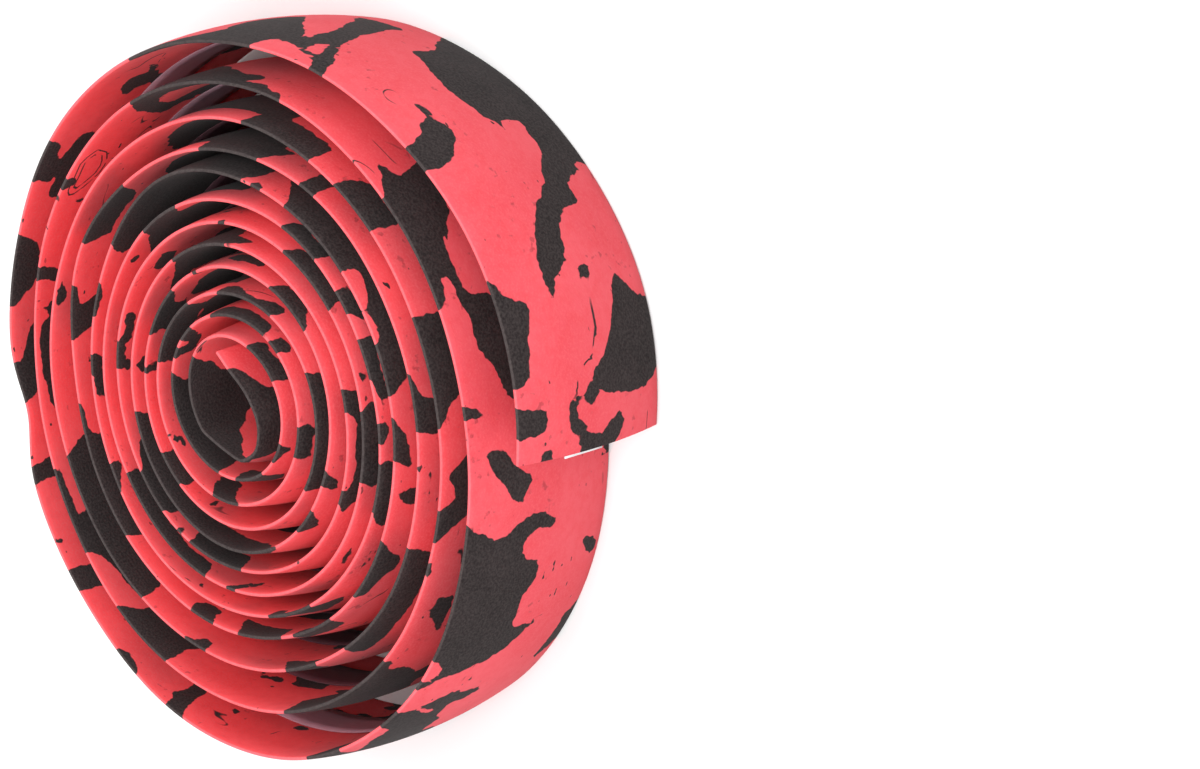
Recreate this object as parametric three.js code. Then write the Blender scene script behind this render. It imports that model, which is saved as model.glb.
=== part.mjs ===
// Handlebar tape roll: one long strip of soft foam bar tape, loosely wound and lying flat on its end,
// and the narrow release paper that covers the adhesive along the inner face of the strip.
// Millimetres, +Z up. The origin is under the middle of the roll, on the surface that it lies on.

import * as THREE from "three";

// Foam strip: flat on its inner face, crowned on its outer face, thin along both long edges
const tapeWidth = 30;
const tapeThickness = 2.0;
const edgeThickness = 0.5;

// Release paper, along the middle of the flat face
const paperWidth = 8;
const paperThickness = 0.2;
const paperClearance = 0.2;
const paperOverhang = 0.4;

// Winding, given by the radius of the flat face. Turns are counted from the eye outwards, and the
// air gaps are those between neighbouring turns, in the same order.
const eyeRadius = 10.0;
const airGaps = [1.4, 1.3, 1.4, 0.7, 1.0, 1.0, 0.5, 2.6, 2.0, 3.1, 3.1];
const freeEndLap = 21;
const ovalShare = 0.016;
const ovalAngle = 75;
const drift = new THREE.Vector2(-0.8, -0.7);

// Places where the soft strip bows out, or is dented in: the turn from the eye, the height in
// millimetres, and the spread along the strip in degrees
const bows = [
  { turn: 0.67, height: 1.5, spread: 55 },
  { turn: 1.58, height: 1.6, spread: 60 },
  { turn: 2.54, height: 0.9, spread: 55 },
  { turn: 4.13, height: -0.8, spread: 40 },
  { turn: 7.75, height: 2.0, spread: 30 },
  { turn: 8.63, height: 1.8, spread: 22 },
  { turn: 9.5, height: 1.2, spread: 40 },
  { turn: 10.33, height: 1.9, spread: 55 },
  { turn: 11.29, height: 3.3, spread: 50 },
  { turn: 11.525, height: -2.6, spread: 8 },
  { turn: 12.0, height: 5.6, spread: 40 },
];

// Inner end of the strip, which turns back up through the eye, in shares of the eye's radius
const hookTurn = 0.42;
const hookShares = [
  [-0.35, -0.83],
  [-0.12, -0.88],
  [0.12, -0.79],
  [0.27, -0.55],
  [0.3, -0.3],
  [0.21, 0.07],
  [0, 0.46],
  [-0.14, 0.76],
];

// Stations along the strip: steps in a turn, closer together on the outer turns
const outerSteps = 40;
const innerSteps = 20;
const outerTurns = 5;
const hookSteps = 14;

const foam = new THREE.MeshStandardMaterial({ color: 0xe2444c, roughness: 0.9, metalness: 0 });
const paper = new THREE.MeshStandardMaterial({ color: 0xe6dfe2, roughness: 0.6, metalness: 0 });

const wall = tapeThickness + paperClearance + paperThickness;
const wholeTurns = airGaps.length + 1;

// Radius after each whole turn. The first entry is inside the eye, where the hook takes over, and
// the last is repeated, because the free end laps on at that radius.
function turnRadii() {
  const radii = [eyeRadius - wall, eyeRadius];
  for (const gap of airGaps) {
    radii.push(radii.at(-1) + wall + gap);
  }
  return [...radii, radii.at(-1)];
}

const evenSpiral = new THREE.SplineCurve(turnRadii().map((radius, turn) => new THREE.Vector2(turn, radius)));

function evenRadius(turn) {
  return evenSpiral.getPoint(turn / (evenSpiral.points.length - 1)).y;
}

function bowAt(turn) {
  return bows.reduce((sum, bow) => {
    const degrees = (turn - bow.turn) * 360;
    return sum + bow.height * Math.exp(-((degrees / bow.spread) ** 2));
  }, 0);
}

// A point of the flat face, seen from above. The strip runs clockwise from the eye outwards.
function flatFacePoint(turn) {
  const angle = -2 * Math.PI * turn;
  const direction = new THREE.Vector2(Math.cos(angle), Math.sin(angle));
  const oval = 1 + ovalShare * Math.cos(2 * (angle - THREE.MathUtils.degToRad(ovalAngle)));
  const radius = evenRadius(turn) * oval + drift.dot(direction) + bowAt(turn);
  return direction.multiplyScalar(radius);
}

// The turns at which the wound part has its stations, from the free end inwards
function stationTurns() {
  const freeEnd = wholeTurns + freeEndLap / 360;
  const change = wholeTurns - outerTurns;
  const turns = [freeEnd];
  for (let step = Math.floor(freeEnd * outerSteps); step > change * outerSteps; step -= 1) {
    turns.push(step / outerSteps);
  }
  for (let step = change * innerSteps; step > hookTurn * innerSteps; step -= 1) {
    turns.push(step / innerSteps);
  }
  return turns;
}

// The points of the hook, on one curve that carries on from the last two stations
function hookPoints(lastStations) {
  const shaped = hookShares.map(([x, y]) => new THREE.Vector2(x, y).multiplyScalar(eyeRadius));
  const curve = new THREE.SplineCurve([...lastStations, ...shaped]);
  const start = 1 / (curve.points.length - 1);
  return Array.from({ length: hookSteps }, (_, step) => {
    return curve.getPoint(start + ((1 - start) * (step + 1)) / hookSteps);
  });
}

// Stations of the whole strip: a point of the flat face, the way along the strip, and the way out
function stripStations() {
  const wound = stationTurns().map(flatFacePoint);
  const points = [...wound, ...hookPoints(wound.slice(-2))];
  return points.map((point, index) => {
    const before = points[Math.max(index - 1, 0)];
    const after = points[Math.min(index + 1, points.length - 1)];
    const along = after.clone().sub(before).normalize();
    return { point, along, outward: new THREE.Vector2(along.y, -along.x) };
  });
}

// Section of the foam: x is the height over the flat face, y runs across the strip
function foamSection() {
  const half = tapeWidth / 2;
  const crown = [-1, -0.62, -0.22, 0.22, 0.62, 1].map((share) => {
    const height = edgeThickness + (tapeThickness - edgeThickness) * (1 - share ** 2);
    return new THREE.Vector2(height, share * half);
  });
  return [new THREE.Vector2(0, -half), ...crown, new THREE.Vector2(0, half)];
}

function paperSection() {
  const half = paperWidth / 2;
  const outer = -paperClearance;
  const inner = outer - paperThickness;
  return [
    new THREE.Vector2(inner, -half),
    new THREE.Vector2(outer, -half),
    new THREE.Vector2(outer, half),
    new THREE.Vector2(inner, half),
  ];
}

// A closed solid: the section, carried upright along the stations, with a cap at each end
function sweep(section, stations) {
  const positions = stations.flatMap(({ point, outward }) => {
    return section.flatMap(({ x, y }) => [point.x + outward.x * x, point.y + outward.y * x, y]);
  });
  const count = section.length;
  const faces = [];
  for (let station = 0; station < stations.length - 1; station += 1) {
    for (let corner = 0; corner < count; corner += 1) {
      const here = station * count + corner;
      const beside = station * count + ((corner + 1) % count);
      faces.push(here, beside + count, beside, here, here + count, beside + count);
    }
  }
  const last = (stations.length - 1) * count;
  for (const [a, b, c] of THREE.ShapeUtils.triangulateShape(section, [])) {
    faces.push(a, b, c);
    faces.push(last + c, last + b, last + a);
  }
  const geometry = new THREE.BufferGeometry();
  geometry.setAttribute("position", new THREE.Float32BufferAttribute(positions, 3));
  geometry.setIndex(faces);
  geometry.computeVertexNormals();
  return geometry;
}

function foamStrip(stations) {
  const strip = new THREE.Mesh(sweep(foamSection(), stations), foam);
  strip.name = "foam_strip";
  return strip;
}

// The paper starts a little beyond the free end and stops where the foam does
function releasePaper(stations) {
  const [freeEnd] = stations;
  const beyond = freeEnd.point.clone().addScaledVector(freeEnd.along, -paperOverhang);
  const strip = new THREE.Mesh(sweep(paperSection(), [{ ...freeEnd, point: beyond }, ...stations]), paper);
  strip.name = "release_paper";
  return strip;
}

const stations = stripStations();
const roll = new THREE.Group();
roll.add(foamStrip(stations), releasePaper(stations));

const extent = new THREE.Box3().setFromObject(roll);
const middle = extent.getCenter(new THREE.Vector3());
roll.position.set(-middle.x, -middle.y, tapeWidth / 2);

const handlebarTapeRoll = new THREE.Group();
handlebarTapeRoll.add(roll);

export default handlebarTapeRoll;
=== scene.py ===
# %% [markdown]
# # A loose roll of marbled handlebar tape
#
# Handlebar tape is one long strip of soft foam, 30 mm wide and a little over two metres long. This roll has
# come loose: its twelve turns lie on their edges with air between them. The packed part already says where
# every turn runs, so the scene repeats its winding and spends its effort on what a plain solid can't show:
# the soft, rounded edges, the marbling and the grain of the foam.

# %% Load the packed part
import math

import bmesh
import bpy
import numpy as np
from mathutils import Matrix, Vector


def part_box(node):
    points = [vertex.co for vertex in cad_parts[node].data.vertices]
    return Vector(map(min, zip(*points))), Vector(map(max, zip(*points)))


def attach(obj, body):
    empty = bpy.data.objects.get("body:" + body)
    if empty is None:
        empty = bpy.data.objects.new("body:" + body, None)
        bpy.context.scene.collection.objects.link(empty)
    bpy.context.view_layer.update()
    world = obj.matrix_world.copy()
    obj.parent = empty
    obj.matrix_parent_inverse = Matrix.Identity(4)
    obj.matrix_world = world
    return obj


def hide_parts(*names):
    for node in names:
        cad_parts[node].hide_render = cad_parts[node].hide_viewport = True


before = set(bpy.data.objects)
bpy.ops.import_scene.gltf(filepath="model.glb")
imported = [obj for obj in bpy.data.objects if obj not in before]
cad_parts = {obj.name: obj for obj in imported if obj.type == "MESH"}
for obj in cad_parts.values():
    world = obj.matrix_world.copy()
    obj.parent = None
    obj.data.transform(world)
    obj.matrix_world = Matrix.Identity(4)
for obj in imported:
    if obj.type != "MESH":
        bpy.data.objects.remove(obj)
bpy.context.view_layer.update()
mm = 0.001

# %% [markdown]
# ## The camera
#
# The photograph looks down on the roll from one side, with the camera turned, so that the roll seems to
# stand. Here the roll lies on the floor, so the turn goes into the camera. A long lens far away keeps the
# near and the far edges of the strip almost the same size. Three directions make the camera's matrix: its
# right, its up, and the way back from what it looks at.

# %% Camera
camera_elevation = math.radians(46.465)
camera_turn = math.radians(15.90)
camera_place = Vector((398.52, -12.14, 375.13)) * mm

back = Vector((math.cos(camera_elevation), 0, math.sin(camera_elevation)))
upright = Vector((0, 1, 0))
level = upright.cross(back)
right = level * math.cos(camera_turn) - upright * math.sin(camera_turn)
up = back.cross(right)


def add_object(name, data):
    """Put a mesh, a camera or a light into the scene, as an object."""
    made = bpy.data.objects.new(name, data)
    bpy.context.scene.collection.objects.link(made)
    return made


lens = bpy.data.cameras.new("photo_lens")
lens.lens = 105
lens.sensor_width = 36
camera = add_object("photo_camera", lens)
camera.matrix_world = Matrix.Translation(camera_place) @ Matrix((right, up, back)).transposed().to_4x4()
bpy.context.scene.camera = camera
print("camera at", [round(value, 3) for value in camera_place], "m")
print("looking along", [round(-value, 2) for value in back])

# %% [markdown]
# ## How the strip is wound
#
# The strip's flat inner face follows a loose spiral. Its radius grows turn by turn, by the foam, the paper
# and the air between two turns. The roll is also a little oval, and soft foam bows out in places. All of it
# is one rule: a turn counted from the eye gives a point seen from above. Working values are in millimetres
# until they go into a mesh.

# %% Sizes of the roll
tape_width = 30
tape_thickness = 2.0
edge_thickness = 0.5
paper_thickness = 0.2
paper_clearance = 0.2
eye_radius = 10.0
air_gaps = [1.4, 1.3, 1.4, 0.7, 1.0, 1.0, 0.5, 2.6, 2.0, 3.1, 3.1]
free_end = 12 + 21 / 360
oval_share = 0.016
oval_angle = math.radians(75)
drift = np.array([-0.8, -0.7])
print("turns:", round(free_end, 2))

# %% Bows: the turn, how far out in millimetres, and over how many degrees
bows = [
    (0.67, 1.5, 55),
    (1.58, 1.6, 60),
    (2.54, 0.9, 55),
    (4.13, -0.8, 40),
    (7.75, 2.0, 30),
    (8.63, 1.8, 22),
    (9.5, 1.2, 40),
    (10.33, 1.9, 55),
    (11.29, 3.3, 50),
    (11.525, -2.6, 8),
    (12.0, 5.6, 40),
]

wall = tape_thickness + paper_clearance + paper_thickness
turn_radii = np.cumsum([eye_radius - wall, wall, *[wall + gap for gap in air_gaps], 0])
print("radii of the turns:", turn_radii.round(1), "mm")

# %% The winding rule


def spline(knots, places):
    """A smooth curve through every knot; a place counts knots from the first one."""
    last = len(knots) - 1
    start = np.minimum(np.floor(places).astype(int), last)
    share = (places - start).reshape(-1, *[1] * (knots.ndim - 1))
    before, here, ahead, beyond = (knots[np.clip(start + step, 0, last)] for step in (-1, 0, 1, 2))
    leave = (ahead - before) / 2
    arrive = (beyond - here) / 2
    cubic = 2 * here - 2 * ahead + leave + arrive
    square = 3 * ahead - 3 * here - 2 * leave - arrive
    return ((cubic * share + square) * share + leave) * share + here


def flat_face(turns):
    """Points of the flat face, seen from above, at turns counted from the eye."""
    angle = -2 * math.pi * turns
    way = np.column_stack((np.cos(angle), np.sin(angle)))
    oval = 1 + oval_share * np.cos(2 * (angle - oval_angle))
    bow = sum(height * np.exp(-(((turns - turn) * 360 / spread) ** 2)) for turn, height, spread in bows)
    return way * (spline(turn_radii, turns) * oval + way @ drift + bow)[:, None]


print("flat face at the free end:", flat_face(np.array([free_end])).round(1))

# %% [markdown]
# ## One path for the whole strip
#
# The last bit of the strip turns back up through the eye, as a hook. Its places are given as shares of the
# eye's radius. Wound part and hook are joined to one long line of points, and the length travelled along it
# is measured. From then on a place on the strip is given the way a tailor would: so far along from the free
# end, and so far across.

# %% Path from the free end to the tip of the hook
hook_shares = [
    (-0.35, -0.83),
    (-0.12, -0.88),
    (0.12, -0.79),
    (0.27, -0.55),
    (0.3, -0.3),
    (0.21, 0.07),
    (0, 0.46),
    (-0.14, 0.76),
]

hook_turn = 0.45
lead_turn = 0.5
wound_turns = np.linspace(free_end, hook_turn, 9000)
wound = flat_face(wound_turns)
before_hook = flat_face(np.array([lead_turn, hook_turn]))
hook_knots = np.vstack((before_hook, eye_radius * np.array(hook_shares)))
hook = spline(hook_knots, np.linspace(1, len(hook_knots) - 1, 500))
path = np.vstack((wound, hook[1:]))
travelled = np.concatenate(([0], np.cumsum(np.linalg.norm(np.diff(path, axis=0), axis=1))))
tape_length = travelled[-1]
print("strip length:", round(tape_length / 1000, 3), "m")


# %% From a length along the strip to a place on the roll
def along_path(along):
    """Points of the path at lengths from the free end."""
    return np.column_stack([np.interp(along, travelled, path[:, axis]) for axis in (0, 1)])


def place_on_roll(along):
    """Points of the flat face and the way out of it, at lengths along the strip."""
    reach = 0.4
    onward = along_path(np.minimum(along + reach, tape_length)) - along_path(np.maximum(along - reach, 0))
    onward /= np.linalg.norm(onward, axis=1)[:, None]
    return along_path(along), np.column_stack((onward[:, 1], -onward[:, 0]))


end_place, end_outward = place_on_roll(np.array([0.0]))
print("the free end:", end_place.round(1), "faces", end_outward.round(2))

# %% [markdown]
# ## The foam strip, made flat
#
# The easiest way to make a wound strip is the way the factory does: first flat, then wound. The slab starts
# as a grid. Its rows are closer together where the strip will bend more or where its marbling shows in
# large, and its cells get narrower towards the near edge, which faces the viewer. The grid is extruded to a
# slab, its upper face is crowned, and its sharp edges get a small bevel, because cut foam is never sharp.

# %% Rows of the slab: lengths along the strip, and how far apart the rows are there
row_spacing = [
    (0, 1.0),
    (420, 1.0),
    (430, 1.45),
    (1500, 1.45),
    (1510, 1.05),
    (tape_length - 45, 1.05),
    (tape_length - 40, 0.5),
    (tape_length, 0.5),
]


def row_places():
    """Lengths along the strip at which the slab has a row of points."""
    known, spacing = zip(*row_spacing)
    places = [0.0]
    while places[-1] < tape_length:
        places.append(places[-1] + float(np.interp(places[-1], known, spacing)))
    return np.array(places) * tape_length / places[-1]


rows = row_places()
print("rows along the strip:", len(rows))


# %% Flat sheets
def flat_grid(places, cells_across):
    """A grid with a row at each place along; across it, the points still run from -0.5 to 0.5."""
    grid = bmesh.new()
    last = len(places) - 1
    bmesh.ops.create_grid(grid, x_segments=last, y_segments=cells_across, size=0.5)
    for corner in grid.verts:
        corner.co.x = places[round((corner.co.x + 0.5) * last)]
    return grid


def thicken(grid, height_at):
    """Extrude a grid to a closed sheet, with its new side as high as a rule says."""
    extruded = bmesh.ops.extrude_face_region(grid, geom=grid.faces[:])["geom"]
    for corner in [item for item in extruded if isinstance(item, bmesh.types.BMVert)]:
        corner.co.z = height_at(corner.co.y)
    bmesh.ops.recalc_face_normals(grid, faces=grid.faces[:])


def as_mesh(name, shape):
    """A finished bmesh as a mesh of its own."""
    mesh = bpy.data.meshes.new(name)
    shape.to_mesh(mesh)
    shape.free()
    return mesh


sample = flat_grid(rows[:3], 2)
print("a grid with three rows and two cells across has", len(sample.verts), "points")
sample.free()

# %% Flat slab
half_width = tape_width / 2
slab_cells_across = 20
middle_column = 5
edge_round = 0.17
sharp_angle = 1.0
print("edges that meet at more than", round(math.degrees(sharp_angle)), "degrees get rounded")


def crown(across):
    """Height of the outer face over the flat one."""
    share = across / half_width
    return edge_thickness + (tape_thickness - edge_thickness) * (1 - share**2)


slab = flat_grid(rows, slab_cells_across)
for corner in slab.verts:
    corner.co.y = np.interp(corner.co.y, [-0.5, 0, 0.5], [-half_width, middle_column, half_width])
thicken(slab, crown)
sharp = [edge for edge in slab.edges if edge.calc_face_angle(0) > sharp_angle]
bmesh.ops.bevel(
    slab,
    geom=sharp,
    offset=edge_round,
    offset_type="OFFSET",
    segments=2,
    profile=0.5,
    affect="EDGES",
    material=-1,
)
open_edges = sum(not edge.is_manifold for edge in slab.edges)
foam_mesh = as_mesh("marbled_foam_strip", slab)
print("slab:", len(foam_mesh.polygons), "faces,", open_edges, "open edges")

# %% [markdown]
# ## Winding the slab
#
# Every point of the slab keeps its height over the flat face and its place across the strip, and only its
# length along the strip is turned into a place on the roll. Loose foam doesn't lie quite true, so each turn
# also wanders by a tenth of a millimetre or two, and leans a little.


# %% Wind a flat mesh
sway = 0.09
lean = 0.07
lift = 0.12


def points_of(mesh):
    """All points of a mesh, one in each row."""
    flat = np.empty(len(mesh.vertices) * 3)
    mesh.vertices.foreach_get("co", flat)
    return flat.reshape(-1, 3)


def wander(along, across):
    """How far loose foam strays from its path: outwards, and up."""
    outwards = sway * np.sin(along / 9.1) + lean * np.sin(along / 5.3 + 1) * across / half_width
    upwards = lift + lift * np.sin(along / 23 + 2 * np.sin(along / 61))
    return outwards, upwards


def wind(mesh):
    """Move the points of a flat mesh onto the roll, and make its faces smooth."""
    along, across, height = points_of(mesh).T
    place, outward = place_on_roll(along)
    outwards, upwards = wander(along, across)
    spot = place + outward * (height + outwards)[:, None]
    wound_points = np.column_stack((spot, across + half_width + upwards))
    mesh.vertices.foreach_set("co", (wound_points * mm).ravel())
    mesh.polygons.foreach_set("use_smooth", np.ones(len(mesh.polygons), dtype=bool))
    mesh.update()


print("the strip wanders by", sway + lean, "mm at most, and lifts by", 2 * lift, "mm at most")

# %% Wind the foam, and centre it on the packed part
flat_points = points_of(foam_mesh)
wind(foam_mesh)

foam_points = points_of(foam_mesh)
low = Vector(foam_points.min(axis=0))
high = Vector(foam_points.max(axis=0))
node_low, node_high = (Vector(corner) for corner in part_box("foam_strip"))
centring = (node_low + node_high - low - high) / 2
centring.z = 0
foam_mesh.transform(Matrix.Translation(centring))
foam = add_object("foam_tape", foam_mesh)
print("wound:", [round(size / mm, 1) for size in high - low], "mm")
print("moved by:", [round(value / mm, 2) for value in centring], "mm")

# %% [markdown]
# ## Marbling that is placed, and marbling that is left to chance
#
# Marbled foam is two batches of foam rolled out together, so its blots have crisp, torn outlines. The large
# blots on the outer turns are what one sees first, so these are drawn as outlines, in millimetres along and
# across the strip. Each point of the mesh then stores how deep inside a blot it is. The
# shader only has to roughen that edge, and everywhere else it makes blots of its own from noise.
# A few of the outlines, and the dark stretches far down further on, are painted shade rather than marbling.

# %% Outlines beside the free end: millimetres from that end, and from the middle of the strip
blots = [
    [(-1, 11.2), (1.5, 11), (1.6, 9.2), (0.3, 8.6), (-1, 8.6)],
    [(4, 16), (3.8, 12), (4.8, 10.4), (6.6, 10), (7.6, 10.6), (8, 13), (8.5, 16)],
    [(11.2, 16), (11.3, 13.6), (12.2, 12.2), (17, 11.2), (19, 10.4), (21.5, 10.1), (22.8, 10.5),
     (24, 13.4), (28.5, 16)],
    [(2, 2.6), (2.4, 4.4), (4, 5.6), (7.4, 6), (7.9, 5), (6, 3.9), (4, 2.6)],
    [(-1, 3.3), (2.1, 2.9), (3, 1.4), (1.7, -0.9), (3, -2.6), (4.8, -6), (3, -6.2), (0.6, -4.7),
     (-1, -2.7)],
    [(7.6, 3.6), (6.4, 1.6), (8.1, -0.8), (7.2, -4.5), (6.5, -8), (6.5, -11.5), (7.5, -13.2),
     (9.5, -16), (18, -16), (19.8, -13.5), (18.4, -12.3), (21.5, -11), (23.6, -8.4), (20.8, -7),
     (16.5, -5.2), (14.2, -3.4), (11.8, -1.2), (10, 0.6), (8.6, 2.2)],
    [(22.2, -1.3), (25.2, -0.5), (25.9, -4.8), (24.1, -3.7)],
    # The streak that runs into the large blot
    [(22, 5.8), (24.2, 6), (27.7, 5.3), (30.5, 4.1), (33.8, 2.2), (35.6, 0.7), (36.7, -1),
     (38.2, -3.2), (40, -3.8), (41.8, -5.6), (44, -6.9), (48.5, -7.6), (50, -6), (49.6, -3.6),
     (46.5, -2.1), (50, -1.5), (54, -0.3), (57.5, 0.2), (60, 0.1), (63, -1.2), (68.2, -2.8),
     (67.6, -7.8), (70.5, -10.3), (72, -13), (73.7, -16), (40.5, -16), (41, -12.3), (38.9, -12.2),
     (38.8, -9.5), (37.3, -7.6), (34.5, -7.9), (33.8, -4), (32, -1.8), (30, -0.6), (26.5, 0.4),
     (25.4, 1.8), (24.3, 3.6), (22, 5)],
    [(44.8, 16), (44.3, 13), (45.3, 10.5), (46.8, 8), (48.5, 6.5), (50.5, 6.2), (52.8, 7.2),
     (56.4, 7.2), (56.5, 8), (53.4, 8.3), (53.2, 10), (50.8, 11.2), (50.3, 13.5), (49.2, 16)],
]
print("blots beside the free end:", len(blots))

# %% Outlines where the outer turn passes over the top
blots += [
    [(68.3, 15.4), (69, 17), (112, 17), (112, 15.2), (109, 14.5), (104, 13.8), (99, 12.8),
     (96.5, 11.5), (94.8, 9.5), (95.5, 7), (95.3, 3), (94, 0), (92, -1.5), (90, -2.6),
     (88.5, -1.4), (87, 0.8), (84, 3.5), (81, 6.5), (80.2, 8), (79.6, 8.5), (78.8, 7.5), (79, 2),
     (80.8, -1.5), (83, -5.5), (86, -9.8), (76.5, -9.5), (75.6, -8.4), (76.6, -7.5), (75.5, -1),
     (74.8, 3), (73.6, 5.8), (73.2, 7), (70.6, 10.6), (69, 13.6)],
]
print("blots on the outer turn:", len(blots))

# %% Outlines on the turn below the free end
blots += [
    [(299.1, 16), (302.3, 10.7), (303.4, 5), (304.8, 1.4), (309.5, -3.6), (310.5, -5.2), (309.7, -2.1),
     (309.8, 1.1), (310.9, 2), (315.2, 2), (317, 0.7), (318, -0.1), (321.3, -0.4), (320.8, 1.8),
     (323, 4.3), (325.2, 3.9), (326.3, 1.4), (325.5, -1.8), (326.6, -2.5), (328.8, 0),
     (329.1, 2.9), (328.4, 5), (326.6, 7.1), (326.3, 10), (328, 12.9), (329.5, 16), (306.4, 16),
     (305.5, 13.6), (303.8, 12.5), (302, 13.6), (301.5, 16)],
    [(276, 10), (283, 13), (288, 13), (290, 16), (293.5, 16), (294.6, 12), (296, 9.5), (297.7, 7),
     (300.5, 5.8), (301.3, 4), (299.8, 4.9), (298, 5.7), (297, 5.5), (296.8, 0.3), (295.5, -0.2),
     (294.1, 2.1), (293.8, 5.5), (290.5, 5), (288.9, 3.2), (284, 3.5), (276, 2)],
    [(339.6, 12.2), (339.6, 8.8), (336.8, 7.2), (334.6, 2.8), (332.6, 4.4), (330.8, 5.2), (331.2, 7),
     (334, 8.6), (336.6, 11)],
    [(334, -13), (336, -14), (341, -14.2), (342, -16), (334, -16)],
    [(346.6, 17), (346.6, 15), (346, 12.8), (344.2, 11.6), (344.7, 14.1), (344.7, 17)],
    [(360.6, 17), (360.7, 14.9), (361.7, 13.5), (364.9, 12.8), (364.9, 11.7), (363.3, 11.1),
     (361.5, 11.6), (358.7, 10.8), (356.6, 11), (353.8, 10.3), (351.2, 8.8), (348.8, 8),
     (346.9, 7.6), (346.2, 5.5), (348.5, 3), (355, 2), (360.9, 3), (361.2, 6), (361.7, 8),
     (362.8, 9), (364.4, 9.1), (366.1, 9.2), (367.3, 9.6), (370, 8.8), (372.6, 7.6), (374, 6),
     (384, 4), (381.5, 9.8), (383, 11.3), (384.5, 12.2), (381, 13.8), (378.5, 15.2), (378.5, 17)],
    [(320, -9.6), (322.5, -9.6), (321.6, -11.8), (321, -14.2), (318.5, -14.4), (318, -12.4),
     (320, -11.8)],
    # Painted shadow: a dark band of shade under the far edge, not a blot of the foam
    [(297, -9.2), (301, -10.8), (305, -12), (307, -11.6), (308, -13.5), (311, -16), (301, -16)],
]
print("blots on the outer faces:", len(blots))

# %% Outlines on the inner face of the outer turn
blots += [
    [(113.2, 9.4), (114.2, 8.8), (116, 6.8), (118, 5.6), (119, 7.5), (121.5, 8.4), (123.5, 7.8),
     (125.5, 5.5), (126, 3.5), (122, 3), (118, 4), (115.5, 5)],
    [(134.7, 17), (135, 13.5), (136.8, 12.5), (138.8, 11.8), (139.3, 10.6), (137, 10.3), (134.6, 9),
     (133.8, 7), (135.5, 5.6), (139.5, 5), (143.5, 5), (147, 7), (147.8, 9.5), (147, 10.8),
     (145.5, 11.2), (144.5, 10.2), (143, 10.6), (143.8, 12.4), (143.4, 14.2), (144.3, 17)],
    [(151.8, 17), (154, 13.6), (155, 11.2), (157, 10), (160.5, 9.8), (163, 10.8), (163.8, 12.8),
     (165.3, 13.6), (166.5, 17)],
    [(175, 17), (175, 13.6), (172, 12), (168.5, 10.4), (169, 8.5), (176, 8.5), (179, 11), (181, 13),
     (182.3, 17)],
    [(193, 17), (191.5, 13.2), (190.7, 9), (193.8, 8), (194.6, 11), (195, 17)],
    [(204.2, 15), (205, 14.9), (205.5, 13.4), (204.9, 13.5)],
    [(209.8, 17), (210, 10), (214.2, 9), (214.2, 13), (213.6, 17)],
    [(224.5, 17), (225.5, 14.6), (227, 13.6), (229.5, 13.6), (231, 15), (231.8, 17)],
    [(239, 17), (238.6, 14), (236.8, 12.4), (237, 10.5), (236.5, 6), (239.2, 6), (240.2, 11.2),
     (240.8, 13), (242.6, 14.6), (243.4, 17)],
    [(244.5, 6.2), (245.4, 7.5), (246.2, 7), (245.7, 4.8)],
    # Painted shadow: a patch of shade low on the inner face, not a blot of the foam
    [(254, 2.2), (257, 4.5), (258.5, 3), (260, 1.5), (257, -1)],
    [(269.5, 17), (272, 13), (273, 9), (276, 8), (279, 17)],
]
print("blots up to the outer turn's inner face:", len(blots))

# %% Outlines on the inner face of the second turn
blots += [
    [(426, 17), (424, 6), (424, -4), (430, -8), (438, -8), (441.2, -3), (442, 3), (441.6, 7.5),
     (440, 11), (438, 13.2), (436.3, 15), (436.3, 17)],
    [(451, 10.2), (452.3, 9.6), (455.8, 6), (454.6, 6)],
    [(457.4, 17), (457, 13.8), (458.2, 12.6), (459.6, 13.6), (459.8, 17)],
    [(461, 17), (461.6, 12), (461.2, 9), (463.8, 8.6), (462.4, 11), (462.2, 17)],
    [(473.8, 17), (475, 12), (475.4, 10), (477.8, 10), (476.6, 13), (477.4, 17)],
    [(480, 17), (480.4, 12), (482.4, 10), (482.9, 11), (481.2, 14), (481, 17)],
    [(482.6, 12.6), (484.5, 13.9), (488, 14.2), (491, 14), (495, 13.3), (498.5, 12.5), (499, 11),
     (496, 9.4), (489, 8.6), (483, 9.8)],
    [(507.3, 17), (508, 14.2), (511, 13.7), (516, 13.4), (516, 11.4), (506, 11.6), (504, 8), (530, 6),
     (531, 10.6), (527, 10.9), (523, 12.8), (521.3, 17)],
    [(531.5, 17), (533.2, 13), (534.4, 10.4), (533, 8), (546, 6), (544.3, 10), (545.4, 13), (545, 17)],
    [(555, 3), (556.5, 5), (558.6, 4), (557, 1)],
    [(573.5, 17), (571.4, 12), (570.5, 9), (573.5, 6), (575, 3), (592, 4), (596, 10), (594.5, 17)],
]
print("blots on all large faces:", len(blots))

# %% [markdown]
# ## The edges that face the viewer
#
# Further in, only the edges of the turns show, with a few millimetres of the faces beside them. There a
# blot is easier to give by its angle on its turn. Four angles and a depth are enough for a plain one: where
# it starts and ends at the edge, and where it starts and ends that deep in the face. The others are
# outlines, in degrees from +X and millimetres from the middle of the strip.


# %% From angles to lengths
past_edge = 17


def length_at(turn):
    """Length from the free end to a turn counted from the eye."""
    return float(np.interp(-turn, -wound_turns, travelled[: len(wound_turns)]))


def by_angle(turn, shape):
    """An outline on a turn, with its angles made into lengths along the strip."""
    return [(length_at(turn - degrees / 360), across) for degrees, across in shape]


def plain_blot(start, end, deep_start, deep_end, deep):
    """The outline of a blot that hangs from the near edge."""
    top = [(end, half_width), (end, past_edge), (start, past_edge), (start, half_width)]
    bottom = [(deep_start, half_width - deep), (deep_end, half_width - deep)]
    return top + bottom


print("the eleventh turn starts", round(length_at(11)), "mm from the free end")

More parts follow.
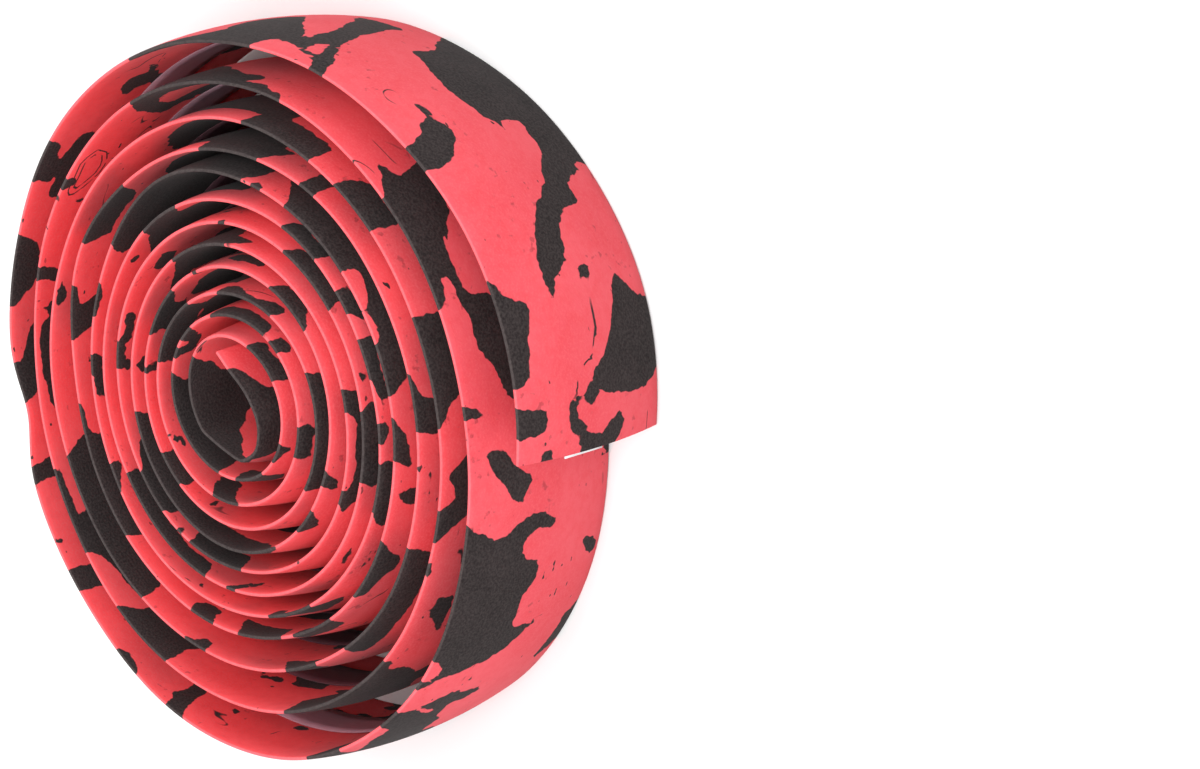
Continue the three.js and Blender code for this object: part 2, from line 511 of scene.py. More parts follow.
# %% Blots along the near edges of the four turns inside the outer one
edge_blots = {
    11: [
        [(54.5, 17), (54.8, 15), (55.8, 13.8), (60, 13.4), (61.3, 12.7), (63.5, 13.4), (66.3, 13.7),
         (64.5, 12.3), (62, 11.3), (66, 10.4), (68, 11), (72, 9.6), (77, 7.4), (82, 5),
         (86, 2.5), (90, -2), (94, -6), (93, 6), (94.5, 10), (94.5, 17)],
        [(278, 12.5), (281, 14), (284, 15.2), (284, 17), (290, 17), (290, 15), (291.8, 12.8),
         (290, 12.9), (286, 13.3), (284, 12), (283, 9), (279, 9)],
        [(302.3, 13.2), (303.5, 13.3), (304.5, 12), (307.2, 11.5), (307.3, 8.5), (297.5, 8.5),
         (299.5, 9.8), (301.5, 10.8), (302.5, 12)],
        [(311.5, 17), (311.8, 14.8), (313.5, 14.3), (315.5, 14.8), (315.8, 17)],
        [(320, 17), (320, 15), (321.6, 13.2), (324, 10.5), (325, 9), (337.5, 9), (337.2, 10.4),
         (335.8, 12), (334.5, 13.2), (332.4, 13.8), (331, 12.8), (329, 12.6), (327.5, 13.6),
         (326.6, 15.2), (326.6, 17)],
        [(342, 17), (342.3, 15.2), (344, 14.2), (347, 12.5), (348.5, 11), (348, 8), (361, 8),
         (361, 17)],
    ],
    10: [
        (-1, 5, -1, 4.3, 5),
        (24, 36.5, 23, 35.5, 5),
        (44.5, 64.5, 44.3, 63.5, 5),
        [(142.2, 14), (143.5, 14.7), (146.5, 14.8), (147.5, 13.8), (146.5, 12.5), (144.5, 12.5)],
        (180.8, 216.5, 176.5, 215, 5),
        [(230, 17), (230.5, 14.8), (233, 14.4), (233.6, 12.2), (235, 11.8), (236.5, 13), (237.2, 14.8),
         (238, 17)],
        (262, 272, 255.5, 268, 5),
        (281.7, 314.7, 280, 314, 5),
        [(327, 12.9), (331, 13.3), (333, 12.6), (328, 12)],
        [(341, 17), (341.3, 15), (340.2, 13), (340.3, 11), (347, 11), (348.5, 13.2), (351, 14.3),
         (354.5, 15), (354.5, 17)],
    ],
    9: [
        (40.7, 45.3, 41, 46, 5),
        (59, 78.5, 55, 80, 5),
        (107.3, 129.5, 112.5, 127.5, 5),
        [(139.5, 17), (140, 14.6), (142, 13.9), (145.2, 13.4), (144.5, 12), (143.4, 10), (143.4, 8),
         (151, 8), (151.5, 10.5), (154, 15), (154, 17)],
        [(158, 12.7), (159.3, 13.3), (160.3, 12.2), (159, 11.4)],
        [(168, 17), (169, 14.8), (177, 14.1), (177.8, 12), (178, 9), (206, 9), (205.3, 12.4),
         (204.6, 15), (204.6, 17)],
        [(231, 17), (231, 15), (229.3, 13.2), (230.5, 11.5), (236.5, 11.5), (236.8, 13), (239, 15),
         (239, 17)],
        (248, 263, 242.5, 259, 5),
        (267, 281.5, 265, 279.5, 4),
        [(292, 17), (292.5, 14.6), (293.7, 13), (299, 12.2), (301.5, 10.3), (305.5, 10.3), (307, 12),
         (309.5, 13.6), (311.5, 15.2), (311.5, 17)],
        [(321.3, 13), (323.8, 14), (325, 12.8), (325, 10), (320.5, 10)],
        [(332.8, 17), (332.5, 15), (330.5, 12.2), (338, 12.8), (341.5, 14), (344.8, 15.2),
         (344.8, 17)],
        (349, 361, 352.8, 361, 4),
    ],
    8: [
        [(-3, 17), (3, 17), (3.3, 14.5), (6.5, 14.1), (10, 14.5), (10.8, 17), (11.2, 17), (12.5, 13.6),
         (16, 13), (19.5, 12.3), (22.5, 12.6), (23.2, 14), (22.3, 17), (47, 17), (48.5, 14),
         (52, 11.5), (55, 10.3), (56, 7), (-3, 7)],
        [(56.8, 17), (57, 14.6), (58.5, 13.8), (60.3, 14.4), (60.5, 17)],
        [(64, 17), (63.5, 14.5), (61, 11), (60.5, 8), (122, 8), (126.3, 12.4), (123.5, 14),
         (121.5, 15.2), (121.5, 17)],
        (135, 145.3, 137, 143, 0.8),
        [(155, 17), (155.8, 14.8), (157.2, 12.8), (168.3, 12.6), (169.3, 13.6), (168.5, 14.9),
         (167.3, 14), (165.5, 14.6), (161, 14.5), (159.5, 17)],
        [(186.3, 17), (186.5, 14.7), (185.8, 12.8), (189, 13.4), (194.5, 15.2), (194.5, 17)],
        [(229.8, 13.9), (232.4, 13.9), (231.6, 12.7), (230, 12.8)],
        (259, 265, 259, 262, 3),
        (267, 277, 272, 284, 5),
        [(295, 13), (298, 13.5), (304, 13), (304, 12), (296, 12)],
        [(317.5, 17), (317, 14.7), (313, 14.1), (311.3, 12.7), (312, 11), (329, 11), (330, 12.7),
         (330.6, 14.6), (330, 17)],
        [(336, 17), (335.8, 14.4), (338.5, 13.4), (341.5, 13.6), (342.3, 17)],
        [(346.3, 13.8), (350, 14.4), (353, 15), (356, 17), (361, 17), (361, 13), (346.5, 12.8)],
    ],
}
print("turns so far:", list(edge_blots))

# %% Blots along the near edges of the inner turns
edge_blots |= {
    7: [
        (-1, 6, -1, 5.5, 2.5),
        (13.5, 20.5, 9, 21, 2.5),
        (32, 47, 30.5, 45, 2.8),
        [(89, 17), (108.5, 17), (109.2, 14.6), (110.3, 13.4), (113.5, 12.7), (117, 11.2), (121, 10.3),
         (121, 8), (104, 8), (97, 12), (91, 15)],
        [(119.8, 13.3), (121.5, 14.1), (123.8, 13.5), (122, 12.4), (120.2, 12.3)],
        (191.3, 233.5, 190.5, 230.5, 3),
        [(242, 17), (242.3, 15), (244, 13.2), (246, 11), (247.5, 9.8), (250, 10.2), (249, 12.5),
         (246.8, 14.6), (246.5, 17)],
        [(289, 12.9), (293, 13.4), (299.5, 12.9), (297, 12.3), (290, 12)],
        (321.8, 345.3, 319.5, 347.5, 2.8),
        [(352.6, 14.5), (356.9, 14.7), (356, 13.3), (354.4, 13)],
    ],
    6: [
        (18.3, 44.5, 19.5, 42, 2.8),
        (71, 74.5, 72, 73.5, 0.9),
        [(110, 13.2), (113, 12.4), (119.5, 12.5), (120.3, 9.5), (110, 9.5)],
        [(137.2, 13.8), (139, 14.9), (141, 14.4), (143.5, 13.9), (147, 14.9), (150, 15.2), (150, 17),
         (157, 17), (157.6, 14.2), (160, 13), (158, 12.1), (154.7, 12.4), (155, 13.4),
         (149.5, 13.6), (148, 12.5), (139, 12.1)],
        [(194, 17), (194, 15), (189, 14.2), (183, 13.2), (183, 11), (211, 11), (210.8, 13),
         (209.6, 15), (209.6, 17)],
        [(217, 17), (217.5, 14), (219, 13), (220, 14.5), (219.5, 17)],
        (223.3, 249, 222, 243.5, 5),
        [(306.5, 14.2), (309, 15.2), (309, 17), (315.2, 17), (315.6, 14.5), (318, 13.6), (341, 13.6),
         (344.3, 15.2), (344.3, 17), (352.3, 17), (352, 15), (350, 13), (350, 12), (311, 12)],
    ],
    5: [
        [(60, 12.3), (64, 13.2), (67, 14.2), (71, 14.3), (72.5, 15.2), (72.5, 17), (101.5, 17),
         (104, 14), (109, 12.6), (116, 11.3), (124, 10.8), (124, 8), (85, 8), (76, 11),
         (72, 12)],
        [(152.4, 13.2), (155.4, 14.2), (157, 13.2), (159, 12.8), (158.5, 11.6), (153.5, 11.6)],
        [(172.5, 17), (173, 15), (175, 13.4), (176, 10), (252, 10), (260, 12.5), (269.5, 15.2),
         (269.5, 17)],
        (284.5, 296.5, 288.5, 291, 3),
        [(311.5, 17), (311, 15), (308.5, 13), (309, 12), (313.5, 12.2), (315.5, 14), (319, 15.2),
         (319, 17)],
    ],
    4: [
        [(18, 17), (18, 15), (20, 14.3), (25, 13.5), (28, 12.4), (41.5, 12.4), (43.5, 14), (46, 15.2),
         (46, 17)],
        [(56, 12.4), (62, 13), (70, 12.8), (80, 12.2), (80, 10), (60, 10)],
        (91, 94, 92, 96, 2),
        [(110, 17), (110.5, 15), (114, 13.8), (120, 12.6), (121, 10), (136, 10), (136.3, 13.2),
         (137.6, 15), (137.6, 17)],
        [(152, 13), (154, 15), (153.5, 17), (155.6, 17), (157.2, 14.4), (155.8, 12.4)],
        [(192.2, 17), (192.3, 15), (193.3, 14), (192.3, 12), (211, 12), (210.8, 14.2), (209, 15.2),
         (209, 17)],
        [(223, 12.3), (225, 13.3), (225.6, 17), (228.6, 17), (227.2, 14), (226.5, 12.6), (225.5, 11.2),
         (223.4, 11)],
        (299.5, 361, 302.5, 361, 3),
    ],
    3: [
        (-1, 2.8, -1, 2.2, 0.9),
        [(38.7, 17), (38.7, 15), (35.8, 12.4), (47.5, 12.4), (50.5, 14), (57, 14), (65, 13.3),
         (72, 12.6), (80, 12.4), (80, 17)],
        [(104, 17), (104.5, 15), (108.5, 10), (149, 10), (149.2, 13), (149.6, 17)],
        [(187.3, 17), (187.3, 14.8), (188.5, 14), (189.3, 12.4), (199, 12.2), (195, 13.4), (191, 14.4),
         (189, 15.2), (189, 17)],
        [(229.8, 17), (229, 15), (225, 13.8), (221, 11.8), (219, 9), (230, 9), (233, 10.8),
         (238.5, 12.6), (244, 14.1), (250, 15.2), (250, 17)],
        (311, 330.3, 309, 332.5, 2.8),
    ],
    2: [
        (21, 32.3, 18.5, 30.5, 2.4),
        [(36.5, 17), (36.8, 15), (41, 12.7), (95, 12), (93, 15), (93, 17)],
        [(112.5, 17), (113, 15), (119.5, 12.9), (124, 11), (137, 11), (138, 13.6), (140, 15),
         (140, 17), (134.3, 17), (134.3, 14.8), (133, 13.4), (130, 13.3), (126.5, 14.6),
         (125.5, 17)],
        [(150, 17), (150.5, 15), (153.5, 14), (157.5, 12.4), (157, 10), (225, 10), (227, 12.4),
         (231, 15), (231, 17)],
        [(247, 17), (246.5, 15), (241.5, 12.4), (240, 10), (278, 10), (276, 15), (276, 17)],
        [(291, 17), (291.5, 15), (297, 14.3), (303, 12.9), (306.5, 12.3), (306.3, 13.8), (309.5, 15.2),
         (309.5, 17)],
    ],
    1: [(5, 50, 5, 48.5, 2.6)],
}
for turn, shapes in edge_blots.items():
    for shape in shapes:
        blots.append(by_angle(turn, plain_blot(*shape) if isinstance(shape, tuple) else shape))
print("blots with those along the edges:", len(blots))

# %% [markdown]
# ## The eye, islands, and painted shade far down
#
# The strip's inner end is one large dark blot. Islands do the opposite of blots: they keep a spot red
# inside a dark one. Where one looks far down between the turns, at the top, the inner faces lie in shade,
# and this shade is painted on them as long dark stretches. Last come two fine lines: rings, one inside the
# other, where the two foams were folded together, and a crack beside the free end. A line is drawn where an
# outline's depth has one certain value, so it stays thin on any mesh.


# %% The dark inner end of the strip
def shifted(start, shape):
    """An outline whose lengths are given from some start."""
    return [(start + along, across) for along, across in shape]


eye_start = length_at(1 - 128.5 / 360)
eye_near = [(0, 17), (0, 15.2), (1.2, 12.7), (1.8, 10.6), (3.4, 8.4), (4.5, 6), (6, 2), (9, -6),
            (9, -17)]
eye_far = [(-18, -17), (-16, -6), (-13, 3), (-9.5, 9.1), (-7.5, 11.7), (-5, 13.2), (-3.3, 15),
           (-3.3, 17)]
blots.append(shifted(eye_start, eye_near) + shifted(tape_length, eye_far))
print("drawn blots:", len(blots))

# %% Red islands
bend = length_at(hook_turn)
below = length_at(11 - 10 / 360)
red_islands = [
    [(71.2, 17), (71.4, 14.6), (73, 13), (76, 11.9), (79.5, 11), (82.3, 11.2), (83.2, 12.7),
     (83.2, 17)],
    [(72.9, 11.7), (73.6, 12.1), (76, 11), (76.6, 9), (75.2, 7.6), (74, 8.6)],
    [(435.6, 10), (432.4, 10.6), (429.5, 9), (429.5, 2), (431, -4), (437, -6), (438.6, -3), (439, 1),
     (438.6, 4.5), (437.4, 8)],
    [(292.7, 7.2), (294.2, 10), (295, 11.3), (294.3, 12), (292.6, 9.6), (292.3, 7.6)],
    shifted(
        bend,
        [(10.6, 14.6), (8.3, 13.6), (6.5, 12.5), (4.7, 11.1), (1.8, 8.6), (-1.2, 4.6), (-2.6, 3.4),
         (-1, -3), (5, -6), (11, -3), (13, 4), (12.3, 11)],
    ),
    shifted(below, [(-4, 9.6), (-2.2, 10.2), (2.6, 10.3), (5, 9.6), (5, 5), (-4, 5)]),
]
print("red islands:", len(red_islands))

# %% Painted shade far down: dark stretches, one on each of these turns
deep_shade_blots = {
    10: [(58, 11), (70, 12), (78, 12), (84, 11.5), (90, 10.5), (96, 9), (103, 6), (108, 2), (104, -3),
         (92, -7), (58, -7)],
    9: [(60, 11), (78, 13.5), (86, 12.7), (95, 11), (103, 9), (108, 4), (100, -4), (80, -8), (58, -8)],
    8: [(62, 12), (122, 10), (119, 2), (108, -6), (70, -9), (60, -4)],
    7: [(70, 11), (90, 12.5), (112, 10), (115, 4), (102, -5), (75, -6)],
    5: [(73, 13), (101, 13), (112, 8), (108, 0), (95, -5), (78, -4)],
    4: [(78, 9), (100, 11), (118, 10), (116, 2), (98, -5), (80, -3)],
    3: [(78, 11), (106, 11), (126, 9), (118, 0), (96, -6), (80, -2)],
}
deep_shade_outlines = [by_angle(turn, shape) for turn, shape in deep_shade_blots.items()]
print("dark stretches far down:", len(deep_shade_outlines))

# %% Rings and a crack
swirl = [(450.8, 12.2), (452, 9.6), (454.6, 8.2), (457.4, 8.6), (459.6, 10.4), (461.4, 12.6),
         (460.4, 13.6), (457, 13.6), (453.4, 14)]
crack = [(20.4, -1.5), (16.4, -1.3), (14.5, -0.5), (13, 0.3), (11.9, 2.6), (9.8, 3.8), (7.5, 5),
         (4, 4.4), (1.5, 2.2), (-2, 0), (-2, -17), (15, -17), (19, -10), (21.5, -9),
         (24.6, -4), (23, -2)]
print("points of the rings and the crack:", len(swirl), len(crack))

# %% Depth inside outlines
farthest = 4


def ramp(value, start, end):
    """A soft step: 0 before start, 1 after end."""
    share = np.clip((value - start) / (end - start), 0, 1)
    return share * share * (3 - 2 * share)


def depth_inside(outline, along, across):
    """Signed distance to an outline: positive inside it."""
    corners = np.array(outline, dtype=float)
    nearest = np.full(len(along), np.inf)
    inside = np.zeros(len(along), dtype=bool)
    for (x0, y0), (x1, y1) in zip(corners, np.roll(corners, -1, axis=0)):
        dx = x1 - x0
        dy = y1 - y0
        share = np.clip(((along - x0) * dx + (across - y0) * dy) / (dx * dx + dy * dy), 0, 1)
        nearest = np.minimum(nearest, np.hypot(along - x0 - share * dx, across - y0 - share * dy))
        if dy:
            crosses = (y0 > across) != (y1 > across)
            inside ^= crosses & (along < x0 + (across - y0) * dx / dy)
    return np.where(inside, nearest, -nearest)


def depth_in_any(outlines, along, across):
    """How deep every place is inside the nearest of some outlines, at most 4 mm either way."""
    depth = np.full(len(along), -float(farthest))
    for outline in outlines:
        reach = [place for place, _ in outline]
        near = (along > min(reach) - farthest) & (along < max(reach) + farthest)
        depth[near] = np.maximum(depth[near], depth_inside(outline, along[near], across[near]))
    return np.minimum(depth, farthest)


square = [(0, 0), (2, 0), (2, 2), (0, 2)]
middle = np.array([1.0])
print("depth in the middle of a square of 2 mm:", depth_in_any([square], middle, middle)[0])

# %% How deep every point of the strip lies in the dark
# The painted shade far down ends at this line across the strip
deep_shade_top = 11.5
along, across, _ = flat_points.T
deep = depth_in_any(deep_shade_outlines, along, across)
depth = np.minimum(depth_in_any(blots, along, across), -depth_in_any(red_islands, along, across))
depth = np.where(across < deep_shade_top, np.maximum(depth, deep), depth)
print("deepest and farthest:", depth.max(), depth.min(), "mm")

# %% Where the drawn blots count, and not the ones from noise
beside_the_end = 1 - ramp(along, 96, 112)
below_the_end = ramp(along, 278, 290) * (1 - ramp(along, 340, 350))
in_the_eye = ramp(along, eye_start, eye_start + 8)
near_the_edge = ramp(across, 2.5, 6)
deep_shade_share = ramp(deep, -1, 1)
drawn = np.maximum.reduce([beside_the_end, below_the_end, in_the_eye, near_the_edge, deep_shade_share])
print("dark share of the drawn part:", round(float((depth[drawn > 0.5] > 0).mean()), 2))

# %% Depth inside the rings and the crack
# Only a short stretch of the crack's outline is drawn, as one line; the rest of it just closes the outline
single_line = 0.7
crack_reach = 60
crack_depth = np.minimum(depth_in_any([crack], along, across), single_line)
swirl_depth = np.maximum(depth_in_any([swirl], along, across), crack_depth)
crack_share = ramp(along, 7.4, 8.4) * (1 - ramp(along, 19.5, 21))
swirl_share = np.where(along < crack_reach, crack_share, 1)
print("points in the rings or the crack:", int((swirl_depth > 0).sum()))


# %% Store it on the mesh
def store(mesh, name, values, kind="FLOAT", field="value"):
    """Give every point of a mesh a value of its own."""
    mesh.attributes.new(name, kind, "POINT").data.foreach_set(field, values)


store(foam_mesh, "strip_place", flat_points.ravel(), "FLOAT_VECTOR", "vector")
store(foam_mesh, "blot_and_shade_depth", depth)
store(foam_mesh, "blot_drawn", drawn)
store(foam_mesh, "swirl_depth", swirl_depth)
store(foam_mesh, "swirl_share", swirl_share)
print("stored for each point:", [item.name for item in foam_mesh.attributes if not item.is_internal])

# %% [markdown]
# ## The release paper
#
# A narrow, thin paper covers the adhesive along the middle of the flat face. It shows as a pale band inside
# the outer turns, and as a white line at the free end, where it stands out a little. It is made as the foam
# is: a flat grid, thickened, and wound on the same path. It doesn't lie quite in the middle, and drifts
# away from the near edge further along the strip.

# %% Flat ribbon
paper_width = 8
paper_cells_across = 4
middle_at_end = 0.2
first_drift = 2.2
second_drift = 1


def paper_middle(along):
    """How far the paper's middle lies from the middle of the strip."""
    return middle_at_end - first_drift * ramp(along, 0, 120) - second_drift * ramp(along, 200, 430)


ribbon = flat_grid(rows[::2], paper_cells_across)
for corner in ribbon.verts:
    corner.co.y = corner.co.y * paper_width + paper_middle(corner.co.x)
    corner.co.z = -paper_clearance
thicken(ribbon, lambda across: -paper_clearance - paper_thickness)
paper_mesh = as_mesh("release_paper_ribbon", ribbon)
print("paper:", len(paper_mesh.polygons), "faces")

# %% Wound paper, with an end that stands out
paper_overhang = 1.3
paper_flat = points_of(paper_mesh)
wind(paper_mesh)

beyond = Vector((end_outward[0, 1], -end_outward[0, 0], 0)) * paper_overhang * mm
for corner, along_strip in zip(paper_mesh.vertices, paper_flat[:, 0]):
    if along_strip < 0.001:
        corner.co += beyond
paper_mesh.transform(Matrix.Translation(centring))
store(paper_mesh, "strip_place", paper_flat.ravel(), "FLOAT_VECTOR", "vector")
paper = add_object("paper_ribbon", paper_mesh)
print("the paper's end moved by", [round(value / mm, 2) for value in beyond], "mm")

# %% [markdown]
# ## Shader sums
#
# A pattern is a sum, and a sum reads best when it is written as one. The small class below wraps one socket
# of a node tree. Plain Python operators on it add Math nodes, and every other node comes from one method.


# %% Shader sums
class Shade:
    """One socket of a material, with Python's operators for its sums."""

    def __init__(self, tree, socket=None):
        self.tree = tree
        self.socket = socket

    def node(self, kind, settings=None, values=None, output=0):
        """Any other node: its settings, its input values or links, and the output to go on with."""
        made = self.tree.nodes.new(kind)
        for name, setting in (settings or {}).items():
            setattr(made, name, setting)
        for name, value in (values or {}).items():
            if isinstance(value, Shade):
                self.tree.links.new(value.socket, made.inputs[name])
            else:
                made.inputs[name].default_value = value
        return Shade(self.tree, made.outputs[output] if made.outputs else None)

    def math(self, operation, *others):
        values = dict(enumerate((self, *others)))
        return self.node("ShaderNodeMath", {"operation": operation}, values)

    def __add__(self, other):
        return self.math("ADD", other)

    __radd__ = __add__

    def __sub__(self, other):
        return self.math("SUBTRACT", other)

    def __mul__(self, other):
        return self.math("MULTIPLY", other)

    def __abs__(self):
        return self.math("ABSOLUTE")

    def stored(self, name, output="Fac"):
        """What the mesh stores for each point under a name."""
        return self.node("ShaderNodeAttribute", {"attribute_name": name}, output=output)

    def axis(self, name):
        """One axis of this place."""
        return self.node("ShaderNodeSeparateXYZ", {}, {"Vector": self}, name)

    def noise(self, size, detail=0.0, roughness=0.5, output=0):
        """Noise on this place, with lumps of about the given size."""
        values = {"Vector": self, "Scale": 1 / size, "Detail": detail, "Roughness": roughness}
        return self.node("ShaderNodeTexNoise", {}, values, output)

    def moved(self, by, scale=1.0):
        """This vector, moved by another vector times a scale."""
        settings = {"operation": "MULTIPLY_ADD"}
        return self.node("ShaderNodeVectorMath", settings, {0: by, 1: (scale, scale, scale), 2: self})

    def stretched(self, factors):
        """This vector, with each axis times a factor of its own."""
        return self.node("ShaderNodeVectorMath", {"operation": "MULTIPLY"}, {0: self, 1: factors})

    def step(self, start, end):
        """A soft step: 0 before start, 1 after end."""
        settings = {"interpolation_type": "SMOOTHSTEP"}
        values = {"Value": self, "From Min": start, "From Max": end}
        return self.node("ShaderNodeMapRange", settings, values)

    def mix(self, first, second):
        """Two colours mixed, with this value as the share of the second."""
        # A Mix node has its colours at inputs 6 and 7, and their mix at output 2
        values = {"Factor": self, 6: first, 7: second}
        return self.node("ShaderNodeMix", {"data_type": "RGBA"}, values, 2)

    def blend(self, first, second):
        """Two numbers mixed, with this value as the share of the second."""
        return first + self * (second - first)


print("a socket's sums:", [name for name in vars(Shade) if not name.startswith("_")])


# %% Materials and colours
def new_material(name):
    """A material without nodes, and the start of its sums."""
    material = bpy.data.materials.new(name)
    material.use_nodes = True
    material.node_tree.nodes.clear()
    return material, Shade(material.node_tree)


def finish_surface(shade, values):
    """The shader and the output that end a material."""
    surface = shade.node("ShaderNodeBsdfPrincipled", {}, values)
    shade.node("ShaderNodeOutputMaterial", {}, {"Surface": surface})


def srgb(red, green, blue):
    """A colour as a paint program shows it, 0 to 255, made linear."""
    parts = [value / 255 for value in (red, green, blue)]
    linear = [part / 12.92 if part <= 0.04045 else ((part + 0.055) / 1.055) ** 2.4 for part in parts]
    return (*linear, 1)


print("a coral red, linear:", [round(part, 3) for part in srgb(240, 82, 90)])

# %% [markdown]
# ## The marbled foam
#
# The foam is matt and a little velvety, because its skin is made of tiny cells. The pattern is one number,
# in millimetres: how deep a place is inside a dark blot. Drawn blots bring their own depth, noise gives it
# elsewhere, and finer noise tears the outline in both. A step then cuts that number into coral and
# charcoal. Warping the place before the noise is read makes the swirls that rolling leaves in real foam.

# %% Foam: how deep in the dark
# Free blots are where noise is over a level, and a height makes millimetres of it
free_level = 0.52
free_height = 34
free_tear = 2.0
drawn_tear = 0.85

foam_material, shade = new_material("marbled foam")
place = shade.stored("strip_place", "Vector")
drawn_share = shade.stored("blot_drawn")

rolled = place.stretched((0.8, 1.0, 1.3))
centred = rolled.noise(9, 1.0, output="Color").moved((-0.5, -0.5, -0.5))
swirled = rolled.moved(centred, 9.0)
free_depth = (swirled.noise(13, 2.0, 0.45) - free_level) * free_height
tear = (place.noise(3.4, 1.0) - 0.5) * 1.7 + (place.noise(1.1, 1.0) - 0.5) * 0.8
# The drawn depth also carries painted shade: the dark stretches far down and two painted shadows
blot_and_shade_depth = drawn_share.blend(free_depth, shade.stored("blot_and_shade_depth"))
torn_depth = blot_and_shade_depth + tear * drawn_share.blend(free_tear, drawn_tear)
is_dark = torn_depth.step(-0.06, 0.1)
print("blots:", len(foam_material.node_tree.nodes), "nodes")

# %% Foam: specks, veins, rings and the crack
ring_gap = 0.9
speck_patches = place.noise(14).step(0.45, 0.6)
specks = place.stretched((0.6, 1.0, 1.0)).noise(1.2, 1.0).step(0.75, 0.77) * speck_patches

drawn_out = place.stretched((0.35, 1.0, 1.0)).moved(centred, 2.5)
vein_line = abs(drawn_out.noise(5, 1.0) - 0.5).step(0.012, 0.003)
vein_patches = place.moved((40, 9, 0)).noise(12).step(0.66, 0.72)
veins = vein_line * vein_patches * place.noise(3).step(0.42, 0.52)

from_ring = abs(abs(shade.stored("swirl_depth") - ring_gap / 2) - ring_gap / 2)
broken_ring = from_ring.step(0.17, 0.07) * place.noise(2.5, 1.0).step(0.36, 0.44)
ring = broken_ring * shade.stored("swirl_share")
dark = is_dark.math("MAXIMUM", specks).math("MAXIMUM", veins).math("MAXIMUM", ring)
print("foam pattern:", len(foam_material.node_tree.nodes), "nodes")

# %% Foam: the two colours
clouds = place.noise(16, 2.0).step(0.3, 0.7)
outer_face = place.axis("Z").step(0.1, 0.4)
shaded_from_second_turn = place.axis("X").step(360, 420)
# Partly painted light: the outer face's paler coral is partly its smoother skin and partly painted sheen,
# and from the second turn inward the outer face gets the darker coral as painted shade
inner_coral = clouds.mix(srgb(245, 76, 82), srgb(250, 88, 94))
outer_coral = clouds.mix(srgb(229, 80, 91), srgb(237, 93, 104))
shaded_coral = clouds.mix(srgb(226, 74, 82), srgb(235, 85, 93))
coral = outer_face.mix(inner_coral, shaded_from_second_turn.mix(outer_coral, shaded_coral))
charcoal = place.noise(6, 3.0).step(0.3, 0.7).mix(srgb(27, 20, 21), srgb(36, 28, 29))
print("foam colours:", len(foam_material.node_tree.nodes), "nodes")

# %% Foam: grain, smudges, and rims with painted highlights
deep_red = srgb(226, 56, 64)
smudge_red = srgb(120, 30, 36)
pale_grain_and_rim_highlight_pink = srgb(255, 150, 156)
pale_grain_and_rim_highlight_grey = srgb(134, 122, 120)

grain = place.noise(0.38, 2.0, 0.6)
# Partly painted highlight: both rims are made paler, partly for the light their rounding catches and partly
# for the foam's paler, rough cut edge
rim_highlight_and_cut_edge = abs(place.axis("Y")).step(14.8, 14.98)
mottling = place.noise(1.6, 2.0).step(0.35, 0.75) * 0.25 + grain.step(0.3, 0.7) * 0.3
smudge_patches = place.moved((0, 71, 0)).noise(10).step(0.5, 0.62)
smudges = place.noise(1.5, 2.0).step(0.62, 0.72) * smudge_patches
smudged = (smudges * 0.45).mix(mottling.mix(coral, deep_red), smudge_red)
red_skin = (rim_highlight_and_cut_edge * 0.18 + grain.step(0.35, 0.75) * 0.16).mix(smudged, pale_grain_and_rim_highlight_pink)
dark_skin = (rim_highlight_and_cut_edge * 0.12 + grain.step(0.25, 0.75) * 0.13).mix(charcoal, pale_grain_and_rim_highlight_grey)
skin = dark.mix(red_skin, dark_skin)
print("foam skin:", len(foam_material.node_tree.nodes), "nodes")

# %% Foam: surface
cells = place.noise(0.7, 2.0, 0.6)
relief = grain * 0.5 + cells * 0.5 + dark * 0.25
bumps = {"Strength": 0.35, "Distance": 0.00012, "Height": relief}
bump = shade.node("ShaderNodeBump", {}, bumps, "Normal")
finish_surface(
    shade,
    {
        "Base Color": skin,
        "Roughness": cells.blend(0.72, 0.92),
        "Normal": bump,
        "Specular IOR Level": 0.2,
        "Sheen Weight": 0.05,
        "Sheen Roughness": 0.5,
    },
)
foam_mesh.materials.append(foam_material)
print("foam material:", len(foam_material.node_tree.nodes), "nodes")

# %% [markdown]
# ## The paper's finish
#
# Release paper is smooth on its coated side and slightly uneven in colour, with fine fibres in it. Long,
# thin noise along the strip gives the fibres, and a little more gloss than the foam tells the two apart. Its
# very end is a white fold. The paper is pale, and the rest of it carries painted shade: a mauve grey for the
# shade and red light in the gaps, darker from the second turn on.

# %% Paper material
paper_material, shade = new_material("release paper")
place = shade.stored("strip_place", "Vector")
along_strip = place.axis("X")
fibres = place.stretched((0.25, 1.0, 1.0)).noise(0.5, 3.0, 0.6)
clouds = place.noise(7, 2.0)
# Painted shade: the pale paper is coloured a mauve grey for the shade in the gaps and the red light that the
# foam throws on it
tone = (fibres * 0.5 + clouds * 0.5).step(0.3, 0.7).mix(srgb(178, 140, 154), srgb(196, 158, 172))
# Painted shade: darker from the second turn on, deeper in the roll
tone = along_strip.step(430, 520).mix(tone, srgb(104, 72, 80))
tone = along_strip.step(0.9, 0.7).mix(tone, srgb(250, 248, 250))
bumps = {"Strength": 0.25, "Distance": 0.0001, "Height": fibres + clouds}
crinkle = shade.node("ShaderNodeBump", {}, bumps, "Normal")
finish_surface(
    shade,
    {
        "Base Color": tone,
        "Roughness": fibres.blend(0.38, 0.55),
        "Normal": crinkle,
        "Specular IOR Level": 0.4,
    },
)
paper_mesh.materials.append(paper_material)
print("paper material:", len(paper_material.node_tree.nodes), "nodes")

# %% [markdown]
# ## Floor and light
#
# The photograph has a white ground and soft light from the camera's right. A large pale floor, a bright sky
# all round and five broad, soft lamps give that: one key lamp, one low lamp and three fills. The sky shows
# as plain white to the camera, and the floor shows paler to the camera than to the light that it throws
# back.

# %% Floor
sheet = bmesh.new()
bmesh.ops.create_grid(sheet, x_segments=1, y_segments=1, size=4)
floor_mesh = as_mesh("floor_sheet", sheet)
floor = add_object("floor", floor_mesh)

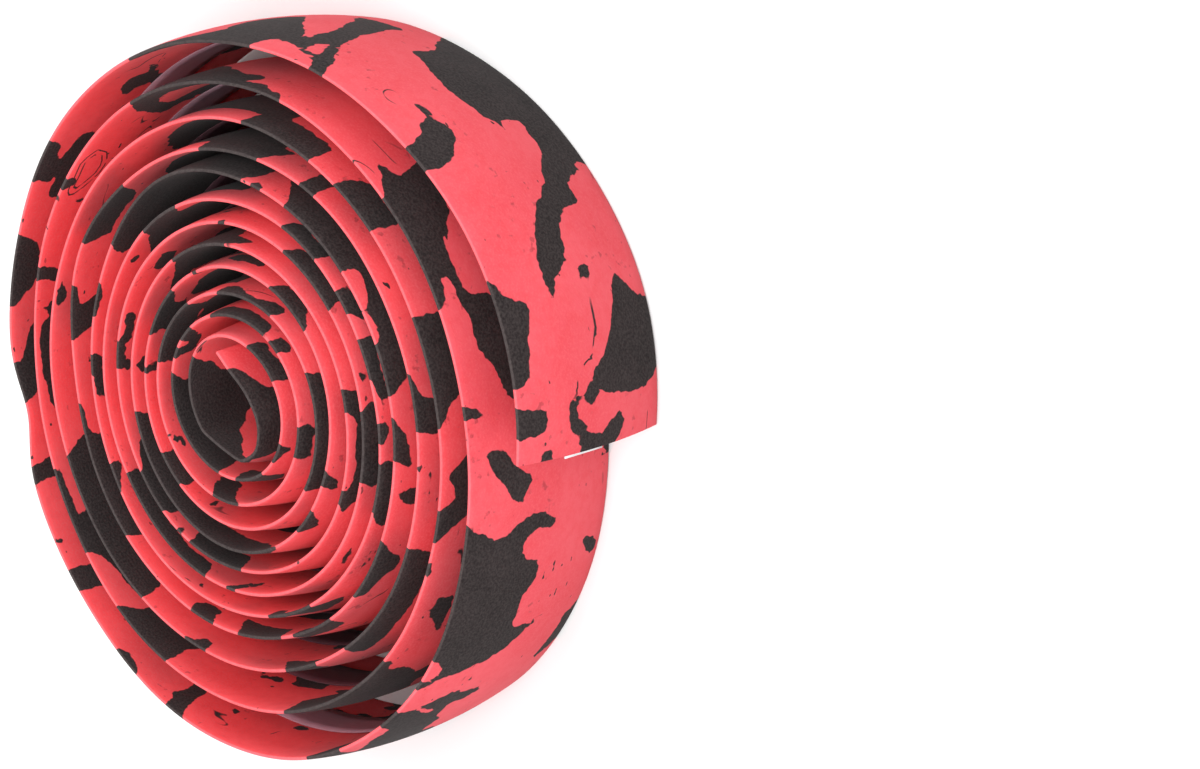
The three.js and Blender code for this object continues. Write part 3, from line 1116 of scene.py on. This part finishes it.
floor_material, shade = new_material("pale floor")
cloudy = shade.node("ShaderNodeTexCoord", output="Object").noise(0.4, 2.0)
seen_floor = cloudy.mix(srgb(244, 243, 243), srgb(248, 247, 247))
seen = shade.node("ShaderNodeLightPath", output="Is Camera Ray")
floor_tone = seen.mix(srgb(160, 159, 158), seen_floor)
finish_surface(shade, {"Base Color": floor_tone, "Roughness": 0.9, "Specular IOR Level": 0.1})
floor_mesh.materials.append(floor_material)
print("floor:", floor.name)

# %% World
world = bpy.data.worlds.new("studio")
world.use_nodes = True
world.node_tree.nodes.clear()
shade = Shade(world.node_tree)
sky = shade.node("ShaderNodeBackground", {}, {"Color": (1, 0.985, 0.98, 1), "Strength": 0.52})
white = shade.node("ShaderNodeBackground", {}, {"Color": (1, 1, 1, 1), "Strength": 1.0})
seen = shade.node("ShaderNodeLightPath", output="Is Camera Ray")
either = shade.node("ShaderNodeMixShader", {}, {0: seen, 1: sky, 2: white})
shade.node("ShaderNodeOutputWorld", {}, {"Surface": either})
bpy.context.scene.world = world
print("world:", len(world.node_tree.nodes), "nodes")

# %% Lamps: name, place in metres, size in metres and power in watts
lamps = [
    ("key_softbox", (0.757, -0.161, 1.106), 1.1, 10.2),
    ("low_softbox", (0.85, -0.85, 0.28), 0.8, 4.8),
    ("left_fill", (0.15, -0.5, 1.3), 0.8, 5.5),
    ("right_fill", (0.2, 0.6, 1.2), 0.8, 5),
    ("top_fill", (0.3, 1.1, 0.5), 0.8, 5.8),
]
for name, spot, size, power in lamps:
    light = bpy.data.lights.new(name, "AREA")
    light.shape = "DISK"
    light.size = size
    light.energy = power
    made = add_object(name, light)
    made.location = spot
    made.rotation_euler = (-Vector(spot)).to_track_quat("-Z", "Y").to_euler()
bpy.context.scene.view_settings.view_transform = "Standard"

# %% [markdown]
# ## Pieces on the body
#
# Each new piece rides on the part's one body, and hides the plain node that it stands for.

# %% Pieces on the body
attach(foam, "root")
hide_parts("foam_strip")
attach(paper, "root")
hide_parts("release_paper")
